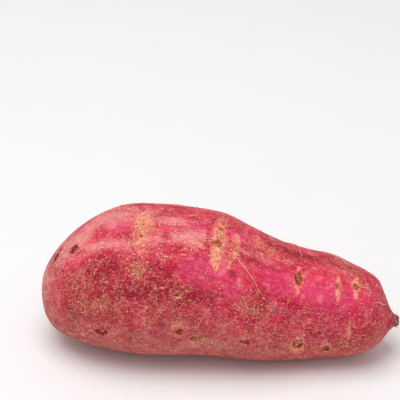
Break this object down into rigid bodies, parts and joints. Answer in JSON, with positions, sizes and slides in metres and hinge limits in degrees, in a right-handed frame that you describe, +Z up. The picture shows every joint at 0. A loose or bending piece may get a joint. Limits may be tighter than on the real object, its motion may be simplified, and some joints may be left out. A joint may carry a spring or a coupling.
{
  "type": "sweet potato",
  "caption": "Whole raw sweet potato lying on its side, blunt at the stem end and tapering to a thin root tail, with sunken eyes and corky scars in its crimson-pink skin.",
  "frame": {"origin": "bottom centre of the bounding box, on the surface the root lies on", "axes": "+X from the blunt stem end to the thin tail, +Y away from the best side, +Z up"},
  "size_m": [0.1802, 0.0754, 0.0712],
  "materials": {
    "skin": "thin satin plant skin, crimson pink with russet specks and tan corky scars"
  },
  "bodies": {
    "root": {"sweet_potato": "skin"}
  },
  "joints": []
}
